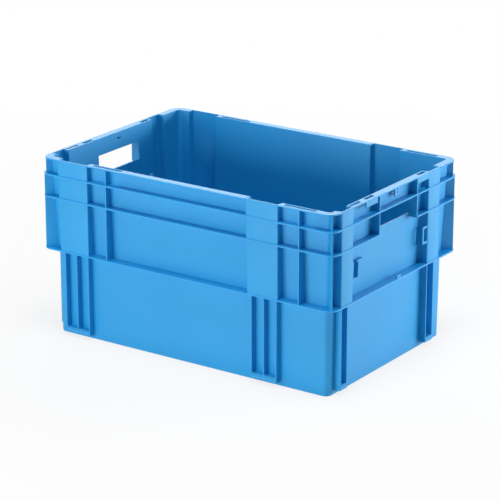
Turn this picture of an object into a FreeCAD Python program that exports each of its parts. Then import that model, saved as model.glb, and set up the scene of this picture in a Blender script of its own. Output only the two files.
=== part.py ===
import FreeCAD, Part
import math
import os
import re
import Sketcher

# A rigid stack-and-nest crate, moulded in one piece from polypropylene.
# Millimetres, +Z up, origin on the ground under the middle of the crate.
# X runs along the long sides, Y along the ends, and -Y is the front.
#
# The moulding is a thin shell in two steps. The lower box stands on the ground.
# Above it the band flares out, and nesting channels in the band take the columns
# of the next crate. Turned by half a turn, that crate's columns land on the rim.
# Every named piece here is one feature of the moulding, and pieces that belong to
# the same wall meet face to face.

doc = FreeCAD.newDocument("crate")


# ---------------------------------------------------------------- driving sizes

SIZES = [
    # overall
    ("crate_length", 600, "along X, over the rib noses"),
    ("crate_width", 400, "along Y, over the rib noses"),
    ("crate_height", 320, "ground to top of rim"),
    ("nose_radius", 18, "plan radius of the rib noses at the corners"),
    ("rim_corner", 20.5, "plan radius of the corners of the rim"),
    ("wall", 3, "thickness of walls and floor"),
    ("rib", 2.6, "thickness of ribs, flange and rim plate"),
    # levels
    ("band_height", 163.5, "top of rim down to the middle of the flange"),
    ("middle_rib_drop", 69, "top of rim down to the middle of the middle rib"),
    ("upper_rib_drop", 29.5, "top of rim down to the middle of the upper rib"),
    # insets of the wall's outer face from the rib noses, and of its corners
    ("inset_rim", 13, "wall to nose at the rim"),
    ("inset_flange", 19, "wall to nose at the flange"),
    ("inset_base", 20.5, "wall to nose at the ground"),
    ("box_corner", 11, "plan radius of the lower box's outer corners"),
    ("band_corner", 8, "plan radius of the band's outer corners"),
    ("rim_inset", 1.5, "edge of the rim plate to nose"),
    ("upright_inset", 0.6, "edge of the upright ribs to nose"),
    # nesting channels in the band
    ("channel_inset", 2, "outer face of a channel to nose"),
    ("channel_reach", 40, "depth of the cut that a channel takes, from the nose"),
    ("channel_wall", 2.4, "thickness of a channel's walls"),
    ("channel_left_margin", 69.5, "left end of the crate to the middle of the left channels"),
    ("channel_right_margin", 140.25, "right end of the crate to the middle of the right channels"),
    ("channel_width", 64, "outside width of a long side's channel"),
    ("channel_taper", 3, "lean of the left wall of a long side's channel"),
    ("channel_near_margin", 45.5, "front of the crate to the middle of the near channels"),
    ("channel_near_width", 35, "outside width of the near channels"),
    ("channel_far_margin", 80.75, "rear of the crate to the middle of the far channels"),
    ("channel_far_width", 38.5, "outside width of the far channels"),
    # columns on the lower box, which go down the channels of the next crate
    ("column_inset", 8.5, "outer face of a column to nose"),
    ("column_clearance", 0.6, "side of a column to the inside of a channel"),
    ("column_near_width", 21, "width of the near columns"),
    ("column_far_width", 24.5, "width of the far columns"),
    ("column_rib", 2.5, "thickness of a column's ribs and foot"),
    ("foot_level", 8.2, "underside of the column feet"),
    ("slot_level", 16.8, "lower end of the slots in the columns"),
    # floor
    ("floor_level", 4, "underside of the floor plate"),
    ("grid_pitch_long", 44, "between the bars that run along X"),
    ("grid_pitch_cross", 46, "between the bars that run along Y"),
    # upright ribs on the long sides
    ("upright_left_margin", 141.5, "left end of the crate to the left upright rib"),
    ("upright_right_margin", 67, "right end of the crate to the right upright rib"),
    ("upright_rib", 2.4, "thickness of upright ribs and jambs"),
    # hand holes
    ("hole_near", -57, "near side of a hand hole, along Y"),
    ("hole_far", 60, "far side of a hand hole, along Y"),
    ("hole_sill_drop", 64, "top of rim down to the lower edge of a hand hole"),
    # grooves in the rim plate
    ("groove_width", 6, "width of a groove"),
    ("groove_margin", 4, "groove end to the side of the column that lands on it"),
    ("short_groove_shift", 21, "middle of the short groove to the far channel's place, mirrored"),
    ("short_groove_length", 26, "its length"),
    ("far_groove_gap", 2, "end of the groove past the hand hole to the far channel"),
    ("far_groove_length", 23, "its length"),
    # tabs under the rim at the ends
    ("wire_hole_length", 10, "length of the hole in the wall behind the lug"),
    ("wire_hole_height", 4, "height of that hole"),
    ("wire_hole_drop", 11.6, "top of rim down to the middle of that hole"),
    ("lip_length", 36, "length of a lip, which ends at the far channel or at its mirrored place"),
    ("lip_drop", 9, "underside of rim down to the lower edge of a lip"),
    ("tab_thickness", 2.4, "thickness of lip, seal lug and card clip"),
    ("lug_middle", 3.5, "middle of the seal lug, along Y"),
    ("lug_width", 17, "width of the seal lug"),
    ("lug_drop", 14, "how far the lug hangs below the rim plate"),
    ("lug_inset", 5, "outer face of the lug to nose"),
    ("seal_hole", 3.2, "diameter of the two holes in the seal lug"),
    ("seal_hole_drop", 3.4, "upper hole below the rim plate"),
    ("seal_hole_pitch", 5.5, "from one seal hole to the other"),
    # card holder at the ends
    ("card_slot_gap", 26.5, "near channel to the slot for the card"),
    ("card_slot_width", 13.5, "width of the slot"),
    ("card_slot_rise", 29.5, "middle of the flange up to the lower end of the slot"),
    ("card_slot_height", 32, "height of the slot"),
    ("card_ledge", 6, "how far the ledge over the slot stands out"),
    ("clip_rise", 37.5, "middle of the flange up to the card clip"),
    ("clip_height", 31, "height of the card clip"),
    ("clip_reach", 14.5, "how far the clip stands off its channel"),
    ("clip_inset", 3, "outer face of the clip to nose"),
    ("clip_bar", 4, "width of the clip's bar and arms"),
    ("clip_hole_reach", 12, "how far the opening behind the clip runs from its channel"),
    ("catch_near", 2, "near side of the catch at the card's foot, along Y"),
    ("catch_far", 15, "far side of the catch"),
    ("catch_height", 5, "height of the catch above the flange"),
    ("catch_inset", 2, "outer face of the catch to nose"),
]

sheet = doc.addObject("Spreadsheet::Sheet", "Sizes")
for row, (alias, value, note) in enumerate(SIZES, start=1):
    sheet.set("A" + str(row), alias)
    sheet.set("B" + str(row), str(value))
    sheet.setAlias("B" + str(row), alias)
    sheet.set("C" + str(row), note)
doc.recompute()

ALIASES = [alias for alias, value, note in SIZES]

# places worked out from those sizes
PLACES = {
    "flange_level": "(crate_height - band_height)",
    "middle_rib_level": "(crate_height - middle_rib_drop)",
    "upper_rib_level": "(crate_height - upper_rib_drop)",
    "channel_left": "(channel_left_margin - crate_length / 2)",
    "channel_right": "(crate_length / 2 - channel_right_margin)",
    "channel_near": "(channel_near_margin - crate_width / 2)",
    "channel_far": "(crate_width / 2 - channel_far_margin)",
    "channel_far_side": "(channel_far - channel_far_width / 2)",
    "upright_left": "(upright_left_margin - crate_length / 2)",
    "upright_right": "(crate_length / 2 - upright_right_margin)",
    "hole_sill": "(crate_height - hole_sill_drop)",
    "short_groove": "(short_groove_shift - channel_far_side)",
    "far_groove": "(channel_far_side - far_groove_gap - far_groove_length / 2)",
    "lip_start": "(channel_far_side - lip_length)",
    "card_slot_near": "(channel_near + channel_near_width / 2 + card_slot_gap)",
    "card_slot_far": "(card_slot_near + card_slot_width)",
    "card_slot_bottom": "(flange_level + card_slot_rise)",
    "card_slot_top": "(card_slot_bottom + card_slot_height)",
    "clip_bottom": "(flange_level + clip_rise)",
    "clip_top": "(clip_bottom + clip_height)",
}
WORD = re.compile(r"[a-z_]+")


def spelled_out(match):
    """A place becomes its formula, and a sheet alias a reference to the sheet."""
    word = match.group()
    if word in PLACES:
        return WORD.sub(spelled_out, PLACES[word])
    return "Sizes." + word if word in ALIASES else word


def formula(text):
    return WORD.sub(spelled_out, text)


def bind(item, prop, text):
    item.setExpression(prop, formula(text))


HALF_LENGTH = "crate_length / 2"
HALF_WIDTH = "crate_width / 2"
FLANGE_TOP = "(flange_level + rib / 2)"
FLANGE_UNDERSIDE = "(flange_level - rib / 2)"
RIM_UNDERSIDE = "(crate_height - rib)"


# ---------------------------------------------------------------- building blocks

def box(name, low, high):
    """A box between two corners, each given as three formulas."""
    item = doc.addObject("Part::Box", name)
    for prop, start, end in zip(("Length", "Width", "Height"), low, high):
        bind(item, prop, "(" + end + ") - (" + start + ")")
    for axis, start in zip("xyz", low):
        bind(item, "Placement.Base." + axis, start)
    return item


def cylinder(name, radius, height, base, direction):
    """A cylinder from a base point, given as formulas, along a fixed direction."""
    item = doc.addObject("Part::Cylinder", name)
    item.Placement.Rotation = FreeCAD.Rotation(FreeCAD.Vector(0, 0, 1), direction)
    bind(item, "Radius", radius)
    bind(item, "Height", height)
    for axis, start in zip("xyz", base):
        bind(item, "Placement.Base." + axis, start)
    return item


def cut(name, base, tool):
    item = doc.addObject("Part::Cut", name)
    item.Base = base
    item.Tool = tool
    return item


def common(name, base, tool):
    item = doc.addObject("Part::Common", name)
    item.Base = base
    item.Tool = tool
    return item


def union(name, items):
    item = doc.addObject("Part::MultiFuse", name)
    item.Shapes = items
    item.Refine = True
    return item


def ring_outline(name, inset, radius, level):
    """A rounded rectangle, drawn in from the rib noses by an inset, at a level."""
    sketch = doc.addObject("Sketcher::SketchObject", name)
    point = FreeCAD.Vector
    side, bend = 100.0, 10.0
    edge = side + bend
    ends = [
        (point(-side, -edge, 0), point(side, -edge, 0)),
        (point(edge, -side, 0), point(edge, side, 0)),
        (point(side, edge, 0), point(-side, edge, 0)),
        (point(-edge, side, 0), point(-edge, -side, 0)),
    ]
    for start, end in ends:
        sketch.addGeometry(Part.LineSegment(start, end), False)
    for turn, (x, y) in enumerate([(side, -side), (side, side), (-side, side), (-side, -side)]):
        circle = Part.Circle(point(x, y, 0), point(0, 0, 1), bend)
        start = (turn - 1) * math.pi / 2
        sketch.addGeometry(Part.ArcOfCircle(circle, start, start + math.pi / 2), False)
    rules = []
    for line in range(4):
        arc = 4 + line
        following = (line + 1) % 4
        rules.append(("Tangent", line, 2, arc, 1))
        rules.append(("Tangent", arc, 2, following, 1))
    rules += [("Horizontal", 0), ("Vertical", 1), ("Horizontal", 2), ("Vertical", 3)]
    rules += [("Equal", 4, arc) for arc in (5, 6, 7)]
    for rule in rules:
        sketch.addConstraint(Sketcher.Constraint(*rule))
    length, width = HALF_LENGTH + " - (" + inset + ")", HALF_WIDTH + " - (" + inset + ")"
    driving = [
        (("Radius", 4, bend), radius),
        (("DistanceX", -1, 1, 1, 1, edge), length),
        (("DistanceX", 3, 1, -1, 1, edge), length),
        (("DistanceY", -1, 1, 2, 1, edge), width),
        (("DistanceY", 0, 1, -1, 1, edge), width),
    ]
    for rule, text in driving:
        index = sketch.addConstraint(Sketcher.Constraint(*rule))
        bind(sketch, "Constraints[" + str(index) + "]", text)
    bind(sketch, "Placement.Base.z", level)
    return sketch


def drafted_block(name, sections):
    """A solid through rounded rectangles, each given as inset, radius and level."""
    item = doc.addObject("Part::Loft", name)
    item.Sections = [ring_outline(name + "_outline_%d" % n, *section)
                     for n, section in enumerate(sections, start=1)]
    item.Solid = True
    item.Ruled = True
    return item


def plate(name, inset, radius, level, thickness):
    """A flat rounded plate that rises by its thickness from a level."""
    item = doc.addObject("Part::Extrusion", name)
    item.Base = ring_outline(name + "_outline", inset, radius, level)
    item.DirMode = "Custom"
    item.Dir = FreeCAD.Vector(0, 0, 1)
    item.Solid = True
    bind(item, "LengthFwd", thickness)
    return item


SIDES = ("front", "rear", "left", "right")
WHOLE_HEIGHT = ("0", "crate_height")
BAND_HEIGHT = (FLANGE_TOP, "crate_height")
UNDER_RIM = (FLANGE_TOP, RIM_UNDERSIDE)


def span(half, side, outer, inner):
    """The two coordinates between two insets, on the low or the high side."""
    if side in ("front", "left"):
        return "-(" + half + " - (" + outer + "))", "-(" + half + " - (" + inner + "))"
    return half + " - (" + inner + ")", half + " - (" + outer + ")"


def side_box(name, side, along, depth, height):
    """A box on one side of the crate: a range along it, two insets and two levels."""
    if side in ("front", "rear"):
        ranges = (along, span(HALF_WIDTH, side, *depth), height)
    else:
        ranges = (span(HALF_LENGTH, side, *depth), along, height)
    return box(name, [low for low, high in ranges], [high for low, high in ranges])


def leaning_box(name, side, along, depth, height):
    """A side box on a long side whose left wall leans out, going up, by the taper."""
    item = doc.addObject("Part::Wedge", name)
    item.Placement.Rotation = FreeCAD.Rotation(FreeCAD.Vector(1, 0, 0), 90)
    low, high = span(HALF_WIDTH, side, *depth)
    for prop, text in (
        ("Xmin", along[0] + " + channel_taper"),
        ("X2min", along[0]),
        ("Xmax", along[1]),
        ("X2max", along[1]),
        ("Ymin", height[0]),
        ("Ymax", height[1]),
        ("Zmin", "-(" + high + ")"),
        ("Z2min", "-(" + high + ")"),
        ("Zmax", "-(" + low + ")"),
        ("Z2max", "-(" + low + ")"),
    ):
        bind(item, prop, text)
    return item


def around(middle, width):
    return middle + " - (" + width + ") / 2", middle + " + (" + width + ") / 2"


pieces = []


def piece(label, item):
    """Hand in one named piece of the moulding."""
    item.Label = label
    pieces.append(item)
    return item


# ---------------------------------------------------------------- the shell's masters

band_outer = drafted_block("band_outer", [
    ("inset_flange", "band_corner", FLANGE_TOP),
    ("inset_rim", "band_corner", "crate_height"),
])
band_inner = drafted_block("band_inner", [
    ("inset_flange + wall", "band_corner - wall", FLANGE_TOP),
    ("inset_rim + wall", "band_corner - wall", "crate_height"),
])
box_outer = drafted_block("box_outer", [
    ("inset_base", "box_corner", "0"),
    ("inset_flange", "box_corner", FLANGE_UNDERSIDE),
])
box_inner = drafted_block("box_inner", [
    ("inset_base + wall", "box_corner - wall", "0"),
    ("inset_flange + wall", "box_corner - wall", FLANGE_UNDERSIDE),
])

# the side it is on, its middle along that side, and its width
CHANNELS = {
    "left_near": ("left", "channel_near", "channel_near_width"),
    "left_far": ("left", "channel_far", "channel_far_width"),
    "right_near": ("right", "channel_near", "channel_near_width"),
    "right_far": ("right", "channel_far", "channel_far_width"),
    "front_left": ("front", "channel_left", "channel_width"),
    "front_right": ("front", "channel_right", "channel_width"),
    "rear_left": ("rear", "channel_left", "channel_width"),
    "rear_right": ("rear", "channel_right", "channel_width"),
}


def channel_solid(name, place, inset, thinner):
    side, middle, width = CHANNELS[place]
    shape = leaning_box if width == "channel_width" else side_box
    along = around(middle, width + " - 2 * " + thinner)
    return shape(name, side, along, (inset, "channel_reach"), BAND_HEIGHT)


channel_blocks = {place: channel_solid("block_" + place, place, "channel_inset", "0")
                  for place in CHANNELS}
all_channels = union("all_channels", list(channel_blocks.values()))

# ---------------------------------------------------------------- channels of the band

for place in CHANNELS:
    bay = channel_solid("bay_" + place, place, "channel_inset + channel_wall", "channel_wall")
    walls = cut("walls_" + place, channel_blocks[place], bay)
    piece("channel_" + place, cut("trimmed_" + place, walls, band_inner))


# ---------------------------------------------------------------- panels of the band

band_shell = cut("band_shell", band_outer, band_inner)
band_wall = cut("band_wall", band_shell, all_channels)

X_LOW, X_HIGH = "-crate_length / 2", "crate_length / 2"
Y_LOW, Y_HIGH = "-crate_width / 2", "crate_width / 2"
CORNERS = {
    "front_left": ((X_LOW, "channel_left"), (Y_LOW, "channel_near")),
    "front_right": (("channel_right", X_HIGH), (Y_LOW, "channel_near")),
    "rear_left": ((X_LOW, "channel_left"), ("channel_far", Y_HIGH)),
    "rear_right": (("channel_right", X_HIGH), ("channel_far", Y_HIGH)),
}
STRAIGHTS = {
    "front": ("channel_left", "channel_right"),
    "rear": ("channel_left", "channel_right"),
    "left": ("channel_near", "channel_far"),
    "right": ("channel_near", "channel_far"),
}
HOLE = ("hole_near", "hole_far")
UPPER_RIB_UNDERSIDE = "(upper_rib_level - rib / 2)"


def corner_region(name, place, height):
    across, deep = CORNERS[place]
    ranges = (across, deep, height)
    return box(name, [low for low, high in ranges], [high for low, high in ranges])


def straight_region(name, side, height):
    return side_box(name, side, STRAIGHTS[side], ("0", "channel_reach"), height)


LOWER_RIB_REACH = "nose_radius - upright_inset"
UPPER_RIB_REACH = ("(nose_radius - rim_inset - rim_corner) * sqrt(2) + rim_corner"
                   " - upright_inset")


def diagonal_post(name, place, reach, height):
    """An upright board on a corner's diagonal, out to a reach from the nose's centre."""
    side_y, side_x = place.split("_")
    x_sign = -1 if side_x == "left" else 1
    y_sign = -1 if side_y == "front" else 1
    item = doc.addObject("Part::Box", name)
    turn = math.degrees(math.atan2(y_sign, x_sign))
    item.Placement.Rotation = FreeCAD.Rotation(FreeCAD.Vector(0, 0, 1), turn)
    bind(item, "Length", "nose_radius * sqrt(2) + " + reach)
    bind(item, "Width", "upright_rib")
    bind(item, "Height", "(" + height[1] + ") - (" + height[0] + ")")
    shift = "upright_rib / sqrt(8)"
    for axis, half, sign, aside in (("x", HALF_LENGTH, x_sign, y_sign),
                                    ("y", HALF_WIDTH, y_sign, -x_sign)):
        start = "%d * (%s - 2 * nose_radius) + %d * %s" % (sign, half, aside, shift)
        bind(item, "Placement.Base." + axis, start)
    bind(item, "Placement.Base.z", height[0])
    return item


corner_posts = {}
for place in CORNERS:
    lower = diagonal_post("lower_post_" + place, place, LOWER_RIB_REACH,
                          (FLANGE_TOP, "upper_rib_level"))
    upper = diagonal_post("upper_post_" + place, place, UPPER_RIB_REACH,
                          ("upper_rib_level", RIM_UNDERSIDE))
    corner_posts[place] = union("post_" + place, [lower, upper])
    rib = cut("corner_rib_" + place, corner_posts[place], band_outer)
    area = corner_region("panel_area_" + place, place, BAND_HEIGHT)
    wall = common("corner_wall_" + place, band_wall, area)
    piece("corner_panel_" + place, union("ribbed_corner_" + place, [wall, rib]))

for side in ("front", "rear"):
    area = straight_region("panel_area_" + side, side, BAND_HEIGHT)
    piece("long_panel_" + side, common("long_wall_" + side, band_wall, area))

for side in ("left", "right"):
    area = straight_region("panel_area_" + side, side, BAND_HEIGHT)
    wall = common("end_wall_" + side, band_wall, area)
    hole_height = ("hole_sill", UPPER_RIB_UNDERSIDE)
    hole = side_box("hand_hole_" + side, side, HOLE, ("0", "channel_reach"), hole_height)
    slot_along = ("card_slot_near", "card_slot_far")
    slot_height = ("card_slot_bottom", "card_slot_top")
    slot = side_box("card_slot_" + side, side, slot_along, ("0", "channel_reach"), slot_height)
    ledge_along = ("card_slot_near - wall", "card_slot_far + wall")
    ledge_height = ("card_slot_top", "card_slot_top + wall")
    ledge_depth = ("inset_flange - wall - card_ledge", "channel_reach")
    ledge = side_box("card_ledge_" + side, side, ledge_along, ledge_depth, ledge_height)
    clip_along = ("channel_far_side - clip_hole_reach", "channel_far_side")
    clip_height = ("clip_bottom - clip_bar", "clip_top - clip_bar")
    behind = side_box("clip_hole_" + side, side, clip_along, ("0", "channel_reach"), clip_height)
    wire_along = around("lug_middle", "wire_hole_length")
    wire_height = around("crate_height - wire_hole_drop", "wire_hole_height")
    wire = side_box("wire_hole_" + side, side, wire_along, ("0", "channel_reach"), wire_height)
    openings = union("wall_holes_" + side, [hole, slot, behind, wire])
    opened = cut("open_wall_" + side, wall, openings)
    ledge_outside = cut("ledge_outside_" + side, ledge, band_inner)
    piece("end_panel_" + side, union("end_wall_with_ledge_" + side, [opened, ledge_outside]))


# ---------------------------------------------------------------- flange, ribs and rim

RING_REACH = "(inset_flange + wall)"
BOX_REACH = "(inset_base + wall)"

flange_disc = plate("flange_disc", "0", "nose_radius", FLANGE_UNDERSIDE, "rib")
flange_hole = plate("flange_hole", RING_REACH, "band_corner - wall", FLANGE_UNDERSIDE, "rib")
flange_ring = cut("flange_ring", flange_disc, flange_hole)

LONG_ALONG = (X_LOW, X_HIGH)


def between_reaches(reach):
    """The range along an end that the front and rear pieces of a ring leave."""
    return "-(" + HALF_WIDTH + " - " + reach + ")", HALF_WIDTH + " - " + reach


def ring_piece(label, ring, side, along, reach):
    """The part of a ring on one side; the reach is the depth that it takes from the nose."""
    depth = ("0", reach if side in ("front", "rear") else "channel_reach")
    area = side_box("area_of_" + label, side, along, depth, WHOLE_HEIGHT)
    return common("cut_of_" + label, ring, area)


for side in ("front", "rear"):
    label = "flange_" + side
    piece(label, ring_piece(label, flange_ring, side, LONG_ALONG, RING_REACH))

for side in ("left", "right"):
    label = "flange_" + side
    run = ring_piece(label, flange_ring, side, between_reaches(RING_REACH), RING_REACH)
    catch_along = ("catch_near", "catch_far")
    catch_depth = ("catch_inset", "catch_inset + tab_thickness")
    catch_height = (FLANGE_UNDERSIDE, FLANGE_TOP + " + catch_height")
    catch = side_box("catch_" + side, side, catch_along, catch_depth, catch_height)
    piece(label, union("flange_with_catch_" + side, [run, catch]))

uprights = {}
for side in ("front", "rear"):
    for name in ("left", "right"):
        along = around("upright_" + name, "upright_rib")
        depth = ("upright_inset", "channel_reach")
        post = side_box("post_" + side + "_" + name, side, along, depth, UNDER_RIM)
        uprights[side + "_" + name] = post
        label = "upright_rib_" + side + "_" + name
        piece(label, cut("upright_outside_" + side + "_" + name, post, band_outer))

jambs = {}
for side in ("left", "right"):
    jamb_height = ("middle_rib_level - rib / 2", RIM_UNDERSIDE)
    depth = ("upright_inset", "channel_reach")
    near_along = ("hole_near - upright_rib", "hole_near")
    far_along = ("hole_far", "hole_far + upright_rib")
    near = side_box("jamb_near_" + side, side, near_along, depth, jamb_height)
    far = side_box("jamb_far_" + side, side, far_along, depth, jamb_height)
    jambs[side] = union("jambs_" + side, [near, far])

posts = [*uprights.values(), *jambs.values(), *corner_posts.values()]
post_stack = union("post_stack", posts)

# The upper rib's front and rear pieces turn the corners and end at the channels of the ends.
RIB_REACHES = {
    "middle_rib": {"front": RING_REACH, "rear": RING_REACH},
    "upper_rib": {"front": "(channel_near_margin - channel_near_width / 2)",
                  "rear": "(channel_far_margin - channel_far_width / 2)"},
}
for name, reaches in RIB_REACHES.items():
    level = "(" + name + "_level - rib / 2)"
    disc = plate(name + "_disc", "0", "nose_radius", level, "rib")
    outside = cut(name + "_outside", disc, band_outer)
    clear = cut(name + "_clear", outside, all_channels)
    ring = cut(name + "_ring", clear, post_stack)
    rib_low = "-(" + HALF_WIDTH + " - " + reaches["front"] + ")"
    rib_high = HALF_WIDTH + " - " + reaches["rear"]
    for side, reach in reaches.items():
        label = name + "_" + side
        piece(label, ring_piece(label, ring, side, LONG_ALONG, reach))
    for side in ("left", "right"):
        label = name + "_" + side
        if name == "upper_rib":
            run = ring_piece(label, ring, side, (rib_low, rib_high), RING_REACH)
            outside = cut("jambs_outside_" + side, jambs[side], band_outer)
            piece("handle_frame_" + side, union("framed_" + side, [run, outside]))
            continue
        near_along = (rib_low, "hole_near - upright_rib")
        far_along = ("hole_far + upright_rib", rib_high)
        for part, along in (("_near", near_along), ("_far", far_along)):
            piece(label + part, ring_piece(label + part, ring, side, along, RING_REACH))

# grooves: a turned crate's columns land on them, so their middles are mirrored
grooves = []
groove_depth = ("inset_rim - groove_width", "inset_rim")
SEAT_LENGTH = "channel_width - 2 * (channel_wall + channel_taper + column_clearance)"
COLUMN_FAR_MIDDLE = ("(channel_far + channel_far_width / 2 - channel_wall"
                     " - column_clearance - column_far_width / 2)")
GROOVES = {
    "front": [("-channel_left", SEAT_LENGTH), ("-channel_right", SEAT_LENGTH)],
    "rear": [("-channel_left", SEAT_LENGTH), ("-channel_right", SEAT_LENGTH)],
    "left": [("-" + COLUMN_FAR_MIDDLE, "column_far_width")],
    "right": [("-" + COLUMN_FAR_MIDDLE, "column_far_width")],
}
for side, seats in GROOVES.items():
    ranges = [around(middle, width + " + 2 * groove_margin") for middle, width in seats]
    if side in ("left", "right"):
        ranges.append(around("short_groove", "short_groove_length"))
        ranges.append(around("far_groove", "far_groove_length"))
    for index, along in enumerate(ranges, start=1):
        name = "groove_" + side + "_" + str(index)
        height = (RIM_UNDERSIDE + " - rib", "crate_height + rib")
        grooves.append(side_box(name, side, along, groove_depth, height))

rim_disc = plate("rim_disc", "rim_inset", "rim_corner", RIM_UNDERSIDE, "rib")
rim_outside = cut("rim_outside", rim_disc, band_outer)
rim_clear = cut("rim_clear", rim_outside, all_channels)
rim_ring = cut("rim_ring", rim_clear, union("all_grooves", grooves))

for place in CORNERS:
    area = corner_region("rim_area_" + place, place, BAND_HEIGHT)
    piece("rim_corner_" + place, common("rim_part_" + place, rim_ring, area))

for side in ("front", "rear"):
    area = straight_region("rim_area_" + side, side, BAND_HEIGHT)
    piece("rim_" + side, common("rim_part_" + side, rim_ring, area))

for side in ("left", "right"):
    area = straight_region("rim_area_" + side, side, BAND_HEIGHT)
    run = common("rim_part_" + side, rim_ring, area)
    lip_depth = ("rim_inset", "rim_inset + tab_thickness")
    lip_height = (RIM_UNDERSIDE + " - lip_drop", RIM_UNDERSIDE)
    lips = []
    lip_places = {"near": ("-channel_far_side", "-lip_start"), "far": ("lip_start", "channel_far_side")}
    for part, along in lip_places.items():
        lips.append(side_box("lip_" + part + "_" + side, side, along, lip_depth, lip_height))
    lug_along = around("lug_middle", "lug_width")
    lug_depth = ("lug_inset", "lug_inset + tab_thickness")
    lug_height = (RIM_UNDERSIDE + " - lug_drop", RIM_UNDERSIDE)
    lug = side_box("lug_" + side, side, lug_along, lug_depth, lug_height)
    holes = []
    for index in range(2):
        drop = "seal_hole_drop + " + str(index) + " * seal_hole_pitch"
        base = (span(HALF_LENGTH, side, "lug_inset - tab_thickness", "channel_reach")[0],
                "lug_middle", RIM_UNDERSIDE + " - (" + drop + ")")
        name = "seal_hole_" + side + "_" + str(index + 1)
        direction = FreeCAD.Vector(1, 0, 0)
        holes.append(cylinder(name, "seal_hole / 2", "channel_reach", base, direction))
    drilled = cut("drilled_lug_" + side, lug, union("seal_holes_" + side, holes))
    piece("seal_lug_" + side, drilled)
    piece("rim_" + side, union("rim_with_lips_" + side, [run, *lips]))

for side in ("left", "right"):
    depth = ("clip_inset", "clip_inset + tab_thickness")
    along = ("channel_far_side - clip_reach", "channel_far_side")
    plate_of_clip = side_box("clip_plate_" + side, side, along, depth, ("clip_bottom", "clip_top"))
    window_along = (along[0] + " + clip_bar", along[1])
    window_height = ("clip_bottom + clip_bar", "clip_top - clip_bar")
    window = side_box("clip_window_" + side, side, window_along, depth, window_height)
    piece("card_clip_" + side, cut("clip_frame_" + side, plate_of_clip, window))


# ---------------------------------------------------------------- lower box

box_wall = cut("box_wall", box_outer, box_inner)
for side in SIDES:
    label = "lower_wall_" + side
    along = LONG_ALONG if side in ("front", "rear") else between_reaches(BOX_REACH)
    piece(label, ring_piece(label, box_wall, side, along, BOX_REACH))

for place, (side, middle, width) in CHANNELS.items():
    if width == "channel_width":
        breadth, ribs = SEAT_LENGTH, 3
        low, high = around(middle, breadth)
    else:
        breadth, ribs = width.replace("channel", "column"), 2
        high = middle + " + " + width + " / 2 - channel_wall - column_clearance"
        low = high + " - " + breadth
    depth = ("column_inset", "channel_reach")
    name = "column_" + place
    block = side_box(name + "_block", side, (low, high), depth, ("foot_level", FLANGE_UNDERSIDE))
    slot_width = "(((" + high + ") - (" + low + ") - %d * column_rib) / %d)" % (ribs, ribs - 1)
    hollows = []
    for index in range(ribs - 1):
        start = "(" + low + ") + column_rib + %d * (column_rib + " % index + slot_width + ")"
        along = (start, start + " + " + slot_width)
        height = ("slot_level", FLANGE_UNDERSIDE)
        slot_depth = ("0", "channel_reach")
        hollows.append(side_box(name + "_slot_%d" % (index + 1), side, along, slot_depth, height))
    inside = ("(" + low + ") + column_rib", "(" + high + ") - column_rib")
    inside_depth = ("column_inset + column_rib", "channel_reach")
    inside_height = ("0", "slot_level - column_rib")
    hollows.append(side_box(name + "_foot_hollow", side, inside, inside_depth, inside_height))
    carved = cut(name + "_carved", block, union(name + "_hollows", hollows))
    piece("stack_" + name, cut(name + "_outside", carved, box_outer))

floor_slab = box("floor_slab", (X_LOW, Y_LOW, "floor_level"), (X_HIGH, Y_HIGH, "floor_level + wall"))
piece("floor_plate", common("floor_inside", floor_slab, box_inner))

bars = []
for index in range(-5, 6):
    along = around("%d * grid_pitch_cross" % index, "column_rib")
    bars.append(box("cross_bar_%d" % (index + 6), (along[0], Y_LOW, "0"),
                    (along[1], Y_HIGH, "floor_level")))
for index in range(-3, 4):
    along = around("%d * grid_pitch_long" % index, "column_rib")
    bars.append(box("long_bar_%d" % (index + 4), (X_LOW, along[0], "0"),
                    (X_HIGH, along[1], "floor_level")))
piece("floor_grid", common("grid_inside", union("grid_bars", bars), box_inner))


# ---------------------------------------------------------------- check and write

doc.recompute()
faults = [item.Name for item in doc.Objects if {"Invalid", "Error"} & set(item.State)]
if faults:
    raise RuntimeError("objects failed: " + ", ".join(faults))
for item in pieces:
    shape = item.Shape
    if shape.isNull() or not shape.isValid() or len(shape.Solids) != 1:
        raise RuntimeError("%s is not one sound solid, it has %d" % (item.Label, len(shape.Solids)))

os.makedirs("parts", exist_ok=True)
for item in pieces:
    item.Shape.exportStep(os.path.join("parts", item.Label + ".step"))
print(len(pieces), "pieces written")
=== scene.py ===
# %% [markdown]
# # A stack and nest crate
# The real object is a single injection moulding in polypropylene. Molten plastic
# fills a steel tool, so the whole crate is one skin about 3 mm thick with ribs that
# stand out from it, and it has no seams, screws or glued joints. The CAD model
# divides that moulding into named features. Here the features are drawn again as
# smooth surfaces with the small roundings that the tool gives every edge.
#
# All lengths in this lesson are millimetres until a mesh is made, and the axes are
# those of the CAD model: Z up, X along the long side, Y along the end.

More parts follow.
